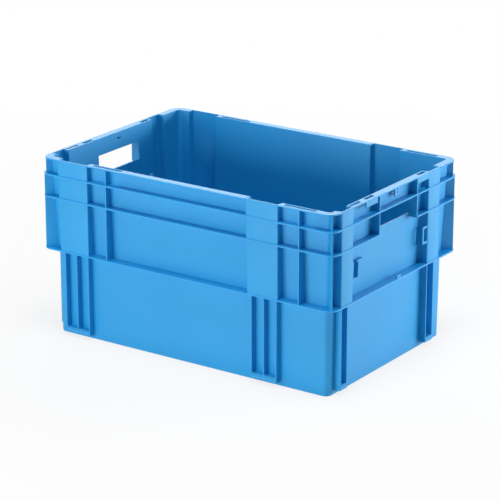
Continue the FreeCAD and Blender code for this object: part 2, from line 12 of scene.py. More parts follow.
# %% Load the frame
import bpy
import bmesh
import math
import numpy as np
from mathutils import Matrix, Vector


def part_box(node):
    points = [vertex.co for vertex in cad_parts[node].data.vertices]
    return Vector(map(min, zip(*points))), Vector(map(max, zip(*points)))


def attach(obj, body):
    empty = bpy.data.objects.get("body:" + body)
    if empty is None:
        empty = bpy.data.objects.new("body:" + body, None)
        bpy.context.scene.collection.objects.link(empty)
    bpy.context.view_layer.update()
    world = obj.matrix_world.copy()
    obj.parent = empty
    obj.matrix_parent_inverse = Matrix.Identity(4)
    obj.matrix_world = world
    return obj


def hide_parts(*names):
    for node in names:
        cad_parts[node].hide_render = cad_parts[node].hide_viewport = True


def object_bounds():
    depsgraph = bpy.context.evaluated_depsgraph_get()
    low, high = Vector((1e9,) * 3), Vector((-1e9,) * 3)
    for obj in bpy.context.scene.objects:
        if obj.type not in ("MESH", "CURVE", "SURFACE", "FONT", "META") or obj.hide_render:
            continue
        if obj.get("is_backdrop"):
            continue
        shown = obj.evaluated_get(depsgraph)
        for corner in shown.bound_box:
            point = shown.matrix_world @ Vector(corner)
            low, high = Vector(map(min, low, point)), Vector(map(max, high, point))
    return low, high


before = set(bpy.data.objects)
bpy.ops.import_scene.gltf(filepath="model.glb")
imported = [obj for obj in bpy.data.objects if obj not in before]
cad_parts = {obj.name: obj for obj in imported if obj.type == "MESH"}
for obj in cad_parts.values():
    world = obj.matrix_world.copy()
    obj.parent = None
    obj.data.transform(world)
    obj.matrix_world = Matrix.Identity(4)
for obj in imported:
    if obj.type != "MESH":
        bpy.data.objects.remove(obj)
cad_low, cad_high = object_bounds()
print("CAD nodes:", len(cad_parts), "box:", tuple(cad_low), tuple(cad_high))

# %% [markdown]
# ## Sizes
# The main sizes are measured from the CAD nodes, so that every surface lands where
# the solid is. A few are read as a difference, such as the draft of the walls: a
# moulded wall leans by one or two degrees so that the part slides off the tool.

# %% Measure the CAD nodes
def node_box(name):
    """Lowest and highest corner of a CAD node, in millimetres."""
    low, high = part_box(name)
    return np.array(low) * 1000.0, np.array(high) * 1000.0


HALF = np.array([cad_high[0], cad_high[1]]) * 1000.0
TOP = cad_high[2] * 1000.0
flange_low, flange_high = node_box("flange_front")[0][2], node_box("flange_front")[1][2]
rib_levels = {name: (node_box(name + "_front")[0][2], node_box(name + "_front")[1][2])
              for name in ("middle_rib", "upper_rib")}
rim_low = node_box("rim_front")[0][2]
WALL = 3.0
# how far the outer face lies in from the rib noses, at the rim, the flange and the ground
inset_rim, inset_flange, inset_base = 13.0, 19.0, 20.5
NOSE_CORNER, RIM_CORNER, BAND_CORNER, BOX_CORNER = 18.0, 20.5, 8.0, 11.0
RIM_INSET, UPRIGHT_INSET, UPRIGHT = 1.5, 0.6, 2.4
# how far a surface runs on into its neighbour, so that their ends stay hidden
OVERLAP, SKIN_OVERLAP, FLANGE_OVERLAP = 1.0, 1.5, 0.8


def band_inset(level):
    """How far the band's outer face lies in from the rib noses: a straight line in height."""
    share = (level - flange_high) / (TOP - flange_high)
    return inset_flange + (inset_rim - inset_flange) * share


def box_inset(level):
    """The same for the lower box, from the ground to the flange."""
    return inset_base + (inset_flange - inset_base) * level / flange_low


print("flange", flange_low, flange_high, "ribs", rib_levels, "rim", rim_low, TOP)

# %% [markdown]
# ## Where the channels are
# Two channels stand on each side, and a column stands below each of them. Two crates
# that face the same way nest, because the columns of one slide down the channels of
# the other. Turned half round, the columns meet grooves in the rim instead, and the
# crates stack. One side of each front and rear channel leans by a few millimetres
# over its height, which lets a nested crate slide out again.

# %% Places of the channels
CHANNEL_WALL, CHANNEL_INSET, CHANNEL_LEAN = 2.4, 2.0, 3.0
PAIRS = {"front": ("left", "right"), "rear": ("left", "right"),
         "left": ("near", "far"), "right": ("near", "far")}


def axis_along(side):
    """The axis that runs along a side: X for the long sides, Y for the ends."""
    return 0 if side in ("front", "rear") else 1


channels = {}
for side, names in PAIRS.items():
    for name in names:
        low, high = node_box("channel_" + side + "_" + name)
        channels[side, name] = (low[axis_along(side)], high[axis_along(side)])
print({"_".join(key): value for key, value in channels.items()})

# %% [markdown]
# ## Helpers for surfaces
# Nearly every feature of the crate is a thin plate with two sides: an outer grid of
# points and an inner grid one wall thickness behind it. `two_skins` joins the two
# grids and closes the plate round its border and round every opening that is left
# out of it. So a wall with a hand hole is one watertight surface. The alternative is
# a boolean cut, but that leaves long thin triangles that bevel badly.

# %% Two skins make a plate
def two_skins(outer, inner, opened=None, wrap=False):
    """Join two grids of points into a closed plate.

    Cell (i, j) of a grid lies between rows i, i+1 and columns j, j+1. Each kept cell
    gives one face on either skin. A wall face stands wherever a kept cell meets an
    opened cell or the border.
    """
    rows, columns = outer.shape[:2]
    index = np.arange(rows * columns).reshape(rows, columns)
    if wrap:
        index = np.concatenate([index, index[:, :1]], axis=1)
    kept = np.ones((rows - 1, index.shape[1] - 1), bool)
    if opened is not None:
        kept &= ~opened
    a, b, c, d = index[:-1, :-1], index[:-1, 1:], index[1:, 1:], index[1:, :-1]
    back = rows * columns
    faces = [np.stack([a, b, c, d], -1)[kept], np.stack([d, c, b, a], -1)[kept] + back]
    around = np.pad(kept, 1)
    if wrap:
        around[:, 0], around[:, -1] = around[:, -2], around[:, 1]
    for shift, start, end in (((0, 1), a, b), ((2, 1), c, d), ((1, 2), b, c), ((1, 0), d, a)):
        neighbour = around[shift[0]:shift[0] + kept.shape[0], shift[1]:shift[1] + kept.shape[1]]
        edge = kept & ~neighbour
        p, q = start[edge], end[edge]
        faces.append(np.stack([q, p, p + back, q + back], -1))
    points = np.concatenate([outer.reshape(-1, 3), inner.reshape(-1, 3)])
    return points, np.concatenate(faces)


print("a plate of 3 by 4 points has", len(two_skins(np.zeros((3, 4, 3)), np.ones((3, 4, 3)))[1]), "faces")

# %% [markdown]
# ## Round corners and loops
# A steel tool has no sharp inner corner, because a cutter made it, and plastic flows
# badly round one. So the plan of the band gets an arc at every bend. One helper turns
# the corners of any outline into arcs, and another draws the plain rounded rectangle
# that the hoops and the lower box follow. Both work on whole arrays at once.

# %% Corners of a path made round
def rounded(corners, radii, steps=4):
    """Replace each corner of closed polygons by an arc.

    corners is (levels, n, 2) and radii is (n,). At a corner P with unit directions u
    and v to its neighbours and the angle t between them, the arc starts at
    P + u r / tan(t/2), ends at P + v r / tan(t/2), and its points are turned evenly
    about the centre. A corner with radius 0 stays one point.
    """
    before = np.roll(corners, 1, axis=1) - corners
    after = np.roll(corners, -1, axis=1) - corners
    u = before / np.linalg.norm(before, axis=-1, keepdims=True)
    v = after / np.linalg.norm(after, axis=-1, keepdims=True)
    half = 0.5 * np.arccos(np.clip((u * v).sum(-1), -1, 1))[..., None]
    r = radii[None, :, None]
    start = corners + u * r / np.tan(half)
    end = corners + v * r / np.tan(half)
    bisector = u + v
    size = np.linalg.norm(bisector, axis=-1, keepdims=True)
    centre = corners + bisector / np.maximum(size, 1e-9) * r / np.sin(half)
    turn = math.pi - 2 * half
    share = np.linspace(0, 1, steps + 1)[None, None, :, None]
    flat = np.abs(np.sin(turn)) < 1e-6
    sine = np.where(flat, 1.0, np.sin(turn))[:, :, None]
    w0 = np.where(flat[:, :, None], 1 - share, np.sin((1 - share) * turn[:, :, None]) / sine)
    w1 = np.where(flat[:, :, None], share, np.sin(share * turn[:, :, None]) / sine)
    arc = centre[:, :, None] + w0 * (start - centre)[:, :, None] + w1 * (end - centre)[:, :, None]
    keep = np.ones((corners.shape[1], steps + 1), bool)
    keep[radii == 0, 1:] = False
    return arc.reshape(corners.shape[0], -1, 2)[:, keep.ravel()]


square = np.array([[[0, 0], [10, 0], [10, 10], [0, 10.0]]])
print("a square with two round corners:", rounded(square, np.array([2.0, 0, 2.0, 0])).shape)

# %% A loop round the crate
def loop_round(inset, corner, level, long_stations, end_stations, steps=8):
    """Points round the crate at one level: stations along each side, arcs between.

    The arc of corner radius r has its centre r inside both faces. Its points are the
    centre plus r times (cos, sin) of angles that run over a quarter turn.
    """
    x, y = HALF[0] - inset, HALF[1] - inset
    cx, cy = x - corner, y - corner
    parts = []
    for quarter, (side_points, sign) in enumerate((
        (np.stack([long_stations, np.full(len(long_stations), -y)], 1), (1, -1)),
        (np.stack([np.full(len(end_stations), x), end_stations], 1), (1, 1)),
        (np.stack([long_stations[::-1], np.full(len(long_stations), y)], 1), (-1, 1)),
        (np.stack([np.full(len(end_stations), -x), end_stations[::-1]], 1), (-1, -1)),
    )):
        angle = (quarter - 1) * math.pi / 2 + np.linspace(0, math.pi / 2, steps + 1)
        arc = np.stack([sign[0] * cx + corner * np.cos(angle),
                        sign[1] * cy + corner * np.sin(angle)], 1)
        parts += [side_points, arc]
    flat = np.concatenate(parts)
    return np.concatenate([flat, np.full((len(flat), 1), level)], 1)


plain_loop = loop_round(0, NOSE_CORNER, 0, np.array([-270.0, 270.0]), np.array([-170.0, 170.0]))
print("points in a plain loop:", len(plain_loop))

# %% Places on the crate
def cell_middles(grid):
    """Middle of every cell of a grid that closes on itself, the mean of its four points."""
    g = np.concatenate([grid, grid[:, :1]], 1)
    return (g[:-1, :-1] + g[:-1, 1:] + g[1:, 1:] + g[1:, :-1]) / 4


def within(values, low, high):
    """Which values lie between two limits."""
    return (values > low) & (values < high)


def side_frame(side, along, depth, height):
    """Points from a place along a side, a depth in from its nose, and a height."""
    along, depth, height = np.broadcast_arrays(along, depth, height)
    outward = 1 if side in ("right", "rear") else -1
    across = (HALF[1 - axis_along(side)] - depth) * outward
    pair = [along, across] if axis_along(side) == 0 else [across, along]
    return np.stack([*pair, height], -1).astype(float)


print("a point on the right end:", side_frame("right", 0.0, 10.0, 200.0))

# %% [markdown]
# ## The plastic
# The crate is polypropylene coloured through with blue pigment. The tool's walls are
# spark-eroded, which leaves a fine matt grain, and the surface still shines a little
# at a low angle because the skin of a moulding is smooth between the grains. Large
# flat walls wander by some hundredths of a millimetre, which softens reflections.
# Handling polishes the noses of the ribs and leaves pale scuffs on the feet.

# %% Colour and node helpers
def linear(hex_colour):
    """sRGB hex to linear RGBA: c/12.92 below 0.04045, else ((c + 0.055)/1.055) ** 2.4."""
    s = np.array([int(hex_colour[i:i + 2], 16) for i in (1, 3, 5)]) / 255.0
    rgb = np.where(s <= 0.04045, s / 12.92, ((s + 0.055) / 1.055) ** 2.4)
    return (*rgb.tolist(), 1.0)


def node(tree, kind, links=(), **settings):
    """Add a node, set properties, set socket N by at_N, and link (socket, other output)."""
    made = tree.nodes.new(kind)
    for name, value in settings.items():
        if name.startswith("at_"):
            made.inputs[int(name[3:])].default_value = value
        else:
            setattr(made, name, value)
    for socket, output in links:
        tree.links.new(output, made.inputs[socket])
    return made


def moulded_polypropylene(name, body, deep, pale):
    """Injection-moulded polypropylene: matt grain, low sheen, slight clouding of the pigment."""
    material = bpy.data.materials.new(name)
    material.use_nodes = True
    tree = material.node_tree
    shader = tree.nodes["Principled BSDF"]
    place = node(tree, "ShaderNodeTexCoord").outputs["Object"]
    # flow clouds in the pigment, some 150 mm across
    cloud = node(tree, "ShaderNodeTexNoise", [("Vector", place)], at_2=7.0, at_3=3.0, at_4=0.5)
    # spark-eroded grain, 0.8 mm across, drawn coarser than the real 0.2 mm so that it shows
    grain = node(tree, "ShaderNodeTexNoise", [("Vector", place)], at_2=1200.0, at_3=2.0, at_4=0.6)
    # sink marks and warp of the flat walls, 60 mm across
    warp = node(tree, "ShaderNodeTexNoise", [("Vector", place)], at_2=16.0, at_3=1.0, at_4=0.4)
    # fine scuffs, short streaks along the walls
    stretch = node(tree, "ShaderNodeMapping", [("Vector", place)])
    stretch.inputs["Scale"].default_value = (40.0, 40.0, 260.0)
    scuff = node(tree, "ShaderNodeTexNoise", [("Vector", stretch.outputs[0])],
                 at_2=3.0, at_3=6.0, at_4=0.7)
    scuff_mask = node(tree, "ShaderNodeMapRange", [("Value", scuff.outputs[0])],
                      at_1=0.62, at_2=0.80, at_3=0.0, at_4=0.16)
    tint = node(tree, "ShaderNodeMapRange", [("Value", cloud.outputs[0])],
                at_1=0.3, at_2=0.7, at_3=0.0, at_4=1.0)
    colour = node(tree, "ShaderNodeMix", [("Factor", tint.outputs[0])], data_type="RGBA")
    colour.inputs[6].default_value = linear(deep)
    colour.inputs[7].default_value = linear(body)
    worn = node(tree, "ShaderNodeMix", [("Factor", scuff_mask.outputs[0])], data_type="RGBA")
    tree.links.new(colour.outputs[2], worn.inputs[6])
    worn.inputs[7].default_value = linear(pale)
    tree.links.new(worn.outputs[2], shader.inputs["Base Color"])
    rough = node(tree, "ShaderNodeMapRange", [("Value", grain.outputs[0])],
                 at_1=0.2, at_2=0.8, at_3=0.40, at_4=0.50)
    tree.links.new(rough.outputs[0], shader.inputs["Roughness"])
    relief = node(tree, "ShaderNodeBump", [("Height", warp.outputs[0])])
    relief.inputs["Strength"].default_value = 0.25
    relief.inputs["Distance"].default_value = 0.0012
    fine = node(tree, "ShaderNodeBump", [("Height", grain.outputs[0]), ("Normal", relief.outputs[0])])
    fine.inputs["Strength"].default_value = 0.20
    fine.inputs["Distance"].default_value = 0.00012
    tree.links.new(fine.outputs[0], shader.inputs["Normal"])
    shader.inputs["IOR"].default_value = 1.50
    return material


polypropylene = moulded_polypropylene("moulded_polypropylene_azure", "#1694D1", "#1490CD", "#8FC8E6")
print("material:", polypropylene.name, "with", len(polypropylene.node_tree.nodes), "nodes")

# %% [markdown]
# ## From points to a piece
# Every edge of a moulding is a little round. A bevel that follows the angle between
# faces rounds only the real edges and leaves the smooth arcs alone, and a modifier
# keeps the mesh below it plain. Each piece rides on the one body of the crate and
# takes the place of the CAD nodes that it draws again.

# %% Points to a finished piece
# points closer than MERGE and edges shorter than SLIVER, in metres, become one point
MERGE, SLIVER, BEVEL_ANGLE = 2e-6, 1e-6, math.radians(40)
made_pieces = []


def moulded_piece(name, surfaces, replaces, edge=0.5, segments=2):
    """Make one object from (points, faces) surfaces in mm, round its edges, ride and replace."""
    mesh = bpy.data.meshes.new(name)
    shapes = bmesh.new()
    for points, faces in surfaces:
        part = bpy.data.meshes.new("part")
        part.from_pydata((points / 1000.0).tolist(), [], [list(f) for f in faces.tolist()])
        shapes.from_mesh(part)
        bpy.data.meshes.remove(part)
    bmesh.ops.remove_doubles(shapes, verts=shapes.verts, dist=MERGE)
    bmesh.ops.dissolve_degenerate(shapes, edges=shapes.edges, dist=SLIVER)
    loose = [v for v in shapes.verts if not v.link_faces]
    bmesh.ops.delete(shapes, geom=loose, context="VERTS")
    bmesh.ops.recalc_face_normals(shapes, faces=shapes.faces)
    open_edges = sum(1 for e in shapes.edges if len(e.link_faces) < 2)
    shapes.to_mesh(mesh)
    shapes.free()
    piece = bpy.data.objects.new(name, mesh)
    bpy.context.scene.collection.objects.link(piece)
    mesh.materials.append(polypropylene)
    mesh.polygons.foreach_set("use_smooth", np.ones(len(mesh.polygons), bool))
    if edge:
        bevel = piece.modifiers.new("tool radius", "BEVEL")
        bevel.width = edge / 1000.0
        bevel.segments = segments
        bevel.limit_method = "ANGLE"
        bevel.angle_limit = BEVEL_ANGLE
        bevel.harden_normals = True
        bevel.miter_outer = "MITER_ARC"
    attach(piece, "root")
    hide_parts(*replaces)
    made_pieces.append(piece)
    print(name, "faces", len(mesh.polygons), "open edges", open_edges)


def nodes_named(*starts):
    """CAD nodes whose names begin with one of the given words."""
    return [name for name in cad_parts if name.startswith(starts)]


print("CAD nodes of the rim:", nodes_named("rim_"))

# %% [markdown]
# ## The band
# The upper half of the crate is one wavy skin. Seen from above it is a rounded
# rectangle that steps out eight times to make the nesting channels. It is drawn as
# that plan outline at a few levels: each level moves the outline in or out by the
# draft, and two outlines, one wall apart, make the skin. The hand holes and the
# openings of the card holder are cells left out of the grid.

# %% Plan outline of the band
def band_corners(level, depth):
    """Corner points of the band's plan at a level, for the face that lies depth inside.

    The skin lies at the draft's inset, plus depth. A channel's front lies at its own
    inset, plus the channel's wall where depth is the wall; its sides move likewise.
    The points run from the front left corner through front, right, rear and left.
    """
    share = (level - flange_high) / (TOP - flange_high)
    skin = HALF - band_inset(level) - depth
    thin = depth * CHANNEL_WALL / WALL
    front = HALF - CHANNEL_INSET - thin
    points = []
    for side, travel, outward in (("front", 1, -1), ("right", 1, 1), ("rear", -1, 1), ("left", -1, -1)):
        along = axis_along(side)
        lean = CHANNEL_LEAN * (1 - share) if along == 0 else 0.0
        path = []
        for name in PAIRS[side][::travel]:
            low, high = channels[side, name]
            first, last = (low + thin + lean, high - thin)[::travel]
            path += [(first, skin), (first, front), (last, front), (last, skin)]
            if along == 1 and name == PAIRS[side][::travel][0]:
                path += [(mark, skin) for mark in END_MARKS[::travel]]
        path.append((travel * skin[along], skin))
        for place, reach in path:
            across = outward * reach[1 - along]
            points.append((place, across) if along == 0 else (across, place))
    return points


def band_radii(inner):
    """Corner radii in the same order: crisp bends at the channels, wide box corners."""
    bend = [1.0, 0.4, 0.4, 1.0] if inner else [0.8, 1.6, 1.6, 0.8]
    corner = [BAND_CORNER - WALL if inner else BAND_CORNER]
    marks = [0.0] * len(END_MARKS)
    half_round = bend + bend + corner + bend + marks + bend + corner
    return np.array(half_round * 2)


# %% Openings of the ends
HOLE_NEAR, HOLE_FAR, HOLE_SILL = -57.0, 60.0, 256.0
JAMB_NEAR, JAMB_FAR = HOLE_NEAR - UPRIGHT / 2, HOLE_FAR + UPRIGHT / 2
SLOT_NEAR, SLOT_FAR, SLOT_LOW, SLOT_HIGH = -110.5, -97.0, 186.0, 218.0
CLIP_BAR = 4.0
clip_low, clip_high = node_box("card_clip_right")
CLIP_HOLE_NEAR, CLIP_HOLE_FAR = channels["right", "far"][0] - 12.0, channels["right", "far"][0] - 0.9
CLIP_HOLE_LOW, CLIP_HOLE_HIGH = clip_low[2] - CLIP_BAR, clip_high[2] - CLIP_BAR
WIRE_NEAR, WIRE_FAR, WIRE_LOW, WIRE_HIGH = -1.5, 8.5, 306.4, 310.4
END_MARKS = [SLOT_NEAR, SLOT_FAR, HOLE_NEAR, WIRE_NEAR, WIRE_FAR, HOLE_FAR, CLIP_HOLE_NEAR]
BAND_LEVELS = np.array([flange_high - OVERLAP, SLOT_LOW, CLIP_HOLE_LOW, SLOT_HIGH, CLIP_HOLE_HIGH,
                        HOLE_SILL, rib_levels["upper_rib"][0], WIRE_LOW, WIRE_HIGH, TOP])
print("levels of the band:", BAND_LEVELS)

# %% The band's skin
def band_grid(inner):
    """The band's plan outline at each level, as a grid of levels by points."""
    depth = WALL if inner else 0.0
    corners = np.array([band_corners(level, depth) for level in BAND_LEVELS])
    plan = rounded(corners, band_radii(inner))
    levels = np.broadcast_to(BAND_LEVELS[:, None, None], (*plan.shape[:2], 1))
    return np.concatenate([plan, levels], -1)


outer, inner = band_grid(False), band_grid(True)
middle = cell_middles(outer)
y, z = middle[..., 1], middle[..., 2]
# depths from the nose: the wall of an end lies within the first, the rim plate past the second
END_ZONE, COVERED_DEPTH = inset_flange + 2.0, 10.0
opened = within(y, HOLE_NEAR, HOLE_FAR) & within(z, HOLE_SILL, rib_levels["upper_rib"][0])
opened |= within(y, SLOT_NEAR, SLOT_FAR) & within(z, SLOT_LOW, SLOT_HIGH)
opened |= within(y, CLIP_HOLE_NEAR, CLIP_HOLE_FAR) & within(z, CLIP_HOLE_LOW, CLIP_HOLE_HIGH)
opened |= within(y, WIRE_NEAR, WIRE_FAR) & within(z, WIRE_LOW, WIRE_HIGH)
opened &= np.abs(middle[..., 0]) > HALF[0] - END_ZONE
# the rim plate covers the skin's top edge, so only the channels reach the very top
under_plate = (HALF - np.abs(outer[-1, :, :2])).min(1) > COVERED_DEPTH
outer[-1, under_plate, 2] = TOP - OVERLAP
inner[-1, under_plate, 2] = TOP - OVERLAP
moulded_piece("band_skin", [two_skins(outer, inner, opened, wrap=True)],
              nodes_named("corner_panel", "long_panel", "end_panel", "channel_"))

# %% [markdown]
# ## Flange, ribs and rim
# Four flat plates run round the band like hoops. A hoop is a few loops of points, one
# per inset from the nose, drawn once for its top and once for its underside. Where a
# hoop passes a channel only its nose stands proud of the channel's face, so there its
# inner loop is moved out into the channel's wall. That hides the end of the plate
# inside the plastic, as in the real moulding. The rim's plate is open along its
# grooves, which are cells left out between two of its loops.

# %% Stations along the sides
STATION_OUT, STATION_IN = 0.9, 1.3
GROOVE_HALF, SEAT_MARGIN, LONG_END = 30.0, 4.0, 270.0


def channel_stations(side, others):
    """Two close stations at each side of a channel, where a hoop changes its depth."""
    marks = list(others)
    for name in PAIRS[side]:
        low, high = channels[side, name]
        marks += [low + STATION_OUT, low + STATION_IN, high - STATION_IN, high - STATION_OUT]
    return np.array(sorted(marks))


# grooves for the columns of a crate on top: they mirror the channels and the far column
seats_long = []
for name in PAIRS["front"]:
    mirrored = -sum(channels["front", name]) / 2
    seats_long.append((mirrored - GROOVE_HALF, mirrored + GROOVE_HALF))
column_far = node_box("stack_column_right_far")
seat_end = (-column_far[1][1] - SEAT_MARGIN, -column_far[0][1] + SEAT_MARGIN)
grooves_end = [seat_end, (-92.0, -66.0), (75.0, 98.0)]
LONG_STATIONS = channel_stations("front", [*np.ravel(seats_long), -LONG_END, LONG_END])
END_STATIONS = channel_stations("right", [*np.ravel(grooves_end), JAMB_NEAR, JAMB_FAR])
print("stations", len(LONG_STATIONS), len(END_STATIONS))

# %% A hoop
BETWEEN_STATIONS = (STATION_OUT + STATION_IN) / 2


def on_long_side(points):
    """Which points lie nearer to a long side than to an end."""
    return HALF[1] - np.abs(points[..., 1]) < HALF[0] - np.abs(points[..., 0])


def over_channel(points, margin=BETWEEN_STATIONS):
    """Which points lie along a channel, by their place along their side."""
    x, y = points[..., 0], points[..., 1]
    on_long = on_long_side(points)
    found = np.zeros(x.shape, bool)
    for (side, name), (low, high) in channels.items():
        if side == "front":
            found |= on_long & within(x, low + margin, high - margin)
        if side == "right":
            found |= ~on_long & within(y, low + margin, high - margin)
    return found


def hoop(low, high, insets, corners, shallow_at_channels=False, opened=None):
    """A flat plate round the crate: loops at the insets, on its underside and its top."""
    skins = []
    for level in (high, low):
        grid = np.array([loop_round(inset, corner, level, LONG_STATIONS, END_STATIONS)
                         for inset, corner in zip(insets, corners)])
        if shallow_at_channels:
            shallow = over_channel(grid[0])
            in_wall = loop_round(CHANNEL_INSET + CHANNEL_WALL / 2, NOSE_CORNER, level,
                                 LONG_STATIONS, END_STATIONS)
            grid[-1, shallow] = in_wall[shallow]
        skins.append(grid)
    hidden = None if opened is None else opened(cell_middles(skins[0]))
    return two_skins(skins[0], skins[1], hidden, wrap=True)


print("points over channels in a plain loop:", over_channel(plain_loop).sum())

# %% Flange and ribs
HOOP_EDGE, RIM_EDGE, HOOP_SEGMENTS = 0.9, 0.7, 3
INNER_CORNER, RIB_INNER_CORNER = 5.0, 6.5


def between_jambs(middle):
    """The middle rib stops at the jambs of the hand holes."""
    return ~on_long_side(middle) & within(middle[..., 1], JAMB_NEAR, JAMB_FAR)


# the flange's inner edge stays 0.1 mm inside the wall, so that no line shows within
flange_surface = hoop(flange_low, flange_high, (0.0, inset_flange + WALL - 0.1),
                      (NOSE_CORNER, INNER_CORNER))
moulded_piece("flange_plate", [flange_surface], nodes_named("flange_"), HOOP_EDGE, HOOP_SEGMENTS)
for label, name, opened_cells in (("rib_middle", "middle_rib", between_jambs),
                                  ("rib_upper", "upper_rib", None)):
    low, high = rib_levels[name]
    rib_surface = hoop(low, high, (0.0, band_inset(low) + SKIN_OVERLAP),
                       (NOSE_CORNER, RIB_INNER_CORNER), True, opened_cells)
    moulded_piece(label, [rib_surface], nodes_named(name), HOOP_EDGE, HOOP_SEGMENTS)

# %% Rim with its grooves
GROOVE_OUT, GROOVE_IN, GROOVE_CORNER = 7.0, 13.0, 15.0
CHANNEL_MARGIN = 0.8


def rim_openings(middle):
    """Cells of the rim plate that are left out: over the channels, and the grooves."""
    x, y = middle[..., 0], middle[..., 1]
    depth = (HALF - np.abs(middle[..., :2])).min(-1)
    long_groove = np.any([within(x, *ends) for ends in seats_long], 0)
    end_groove = np.any([within(y, *ends) for ends in grooves_end], 0)
    groove = within(depth, GROOVE_OUT, GROOVE_IN) & np.where(on_long_side(middle), long_groove, end_groove)
    return over_channel(middle, CHANNEL_MARGIN) | groove


rim_surface = hoop(rim_low, TOP, (RIM_INSET, GROOVE_OUT, GROOVE_IN, inset_rim + WALL),
                   (RIM_CORNER, GROOVE_CORNER, BAND_CORNER, INNER_CORNER), False, rim_openings)
rim_nodes = [name for name in nodes_named("rim_") if name not in ("rim_left", "rim_right")]
moulded_piece("rim_plate", [rim_surface], rim_nodes, RIM_EDGE, HOOP_SEGMENTS)

# %% [markdown]
# ## Upright plates
# The upright ribs, and the jambs of the hand holes, are thin plates on edge. Each is
# two grids over depth and height. The outer edge is straight and the inner edge
# follows the draft of the skin, a little inside it.

# %% Upright ribs and jambs
def upright(side, along, low, high):
    """A plate on edge: columns are the nose and the hidden edge, rows are levels."""
    levels = np.array([low, high])
    depths = np.stack([np.full(2, UPRIGHT_INSET), band_inset(levels) + SKIN_OVERLAP], 1)
    faces = [side_frame(side, along + offset, depths, levels[:, None])
             for offset in (-UPRIGHT / 2, UPRIGHT / 2)]
    return two_skins(*faces)


def corner_rib(x_sign, y_sign, low, high, reach):
    """A plate on a corner's diagonal, out to a reach from the centre of the rib's nose.

    The skin's corner of radius r, at inset i, has its centre (R - i - r) sqrt(2) out
    from the centre of the nose radius R, so the skin lies at that plus r.
    """
    levels = np.array([low, high])
    skin = (NOSE_CORNER - band_inset(levels) - BAND_CORNER) * math.sqrt(2) + BAND_CORNER
    skin -= SKIN_OVERLAP
    distance = np.stack([skin, np.full(2, reach)], 1)
    out = np.array([x_sign, y_sign]) / math.sqrt(2)
    centre = np.array([x_sign, y_sign]) * (HALF - NOSE_CORNER)
    skins = []
    for offset in (-UPRIGHT / 2, UPRIGHT / 2):
        plan = centre + distance[..., None] * out + offset * np.array([-out[1], out[0]])
        height = np.broadcast_to(levels[:, None, None], (2, 2, 1))
        skins.append(np.concatenate([plan, height], -1))
    return two_skins(skins[0], skins[1])


rib_middle_level = sum(rib_levels["upper_rib"]) / 2
rim_reach = (NOSE_CORNER - RIM_INSET - RIM_CORNER) * math.sqrt(2) + RIM_CORNER - UPRIGHT_INSET
for x_name, x_sign in (("left", -1), ("right", 1)):
    for y_name, y_sign in (("front", -1), ("rear", 1)):
        lower = corner_rib(x_sign, y_sign, flange_high - OVERLAP, rib_middle_level,
                           NOSE_CORNER - UPRIGHT_INSET)
        upper = corner_rib(x_sign, y_sign, rib_middle_level, rim_low + OVERLAP, rim_reach)
        place = y_name + "_" + x_name
        moulded_piece("corner_rib_" + place, [lower, upper], ["corner_panel_" + place])

for side in ("front", "rear"):
    replaced = ["upright_rib_" + side + "_" + name for name in PAIRS[side]]
    middles = [(node_box(name)[0][0] + node_box(name)[1][0]) / 2 for name in replaced]
    plates = [upright(side, along, flange_high - OVERLAP, rim_low + OVERLAP) for along in middles]
    moulded_piece("upright_ribs_" + side, plates, replaced)
for side in ("left", "right"):
    low = rib_levels["middle_rib"][0]
    plates = [upright(side, along, low, rim_low + OVERLAP) for along in (JAMB_NEAR, JAMB_FAR)]
    moulded_piece("jambs_" + side, plates, ["handle_frame_" + side])

# %% [markdown]
# ## The lower box
# The lower box is a plain tub. Its wall is the rounded rectangle again, at the ground
# and at the flange, and its bottom edge is rounded more than the others.

# %% Lower walls
BOX_LEVELS = np.array([0.0, 0.6, 2.0, 40.0, 80.0, 120.0, flange_low + FLANGE_OVERLAP])
BOX_EASE = np.array([1.6, 0.5, 0.0, 0.0, 0.0, 0.0, 0.0])
long_stations, end_stations = np.array([-265.0, 0.0, 265.0]), np.array([-165.0, 0.0, 165.0])
outer = np.array([loop_round(box_inset(z) + ease, BOX_CORNER, z, long_stations, end_stations)
                  for z, ease in zip(BOX_LEVELS, BOX_EASE)])
inner = np.array([loop_round(box_inset(z) + WALL, BOX_CORNER - WALL, z, long_stations, end_stations)
                  for z in BOX_LEVELS])
moulded_piece("lower_box", [two_skins(outer, inner, wrap=True)], nodes_named("lower_wall"))

# %% [markdown]
# ## Stacking columns
# Eight columns stand out from the box below the flange and carry the crate above.
# Upright slots cut each column into thin ribs, because thick plastic shrinks and
# leaves dents. Below the slots the column is a small hollow foot, open from below, so
# it is drawn as a tube, and the ribs are a plate with the slots left out.

# %% Columns on hollow feet
COLUMN_RIB, COLUMN_INSET, COLUMN_BACK, SLOT_LEVEL = 2.5, 8.5, 22.0, 16.8
FOOT_LEVEL = node_box("stack_column_front_left")[0][2]


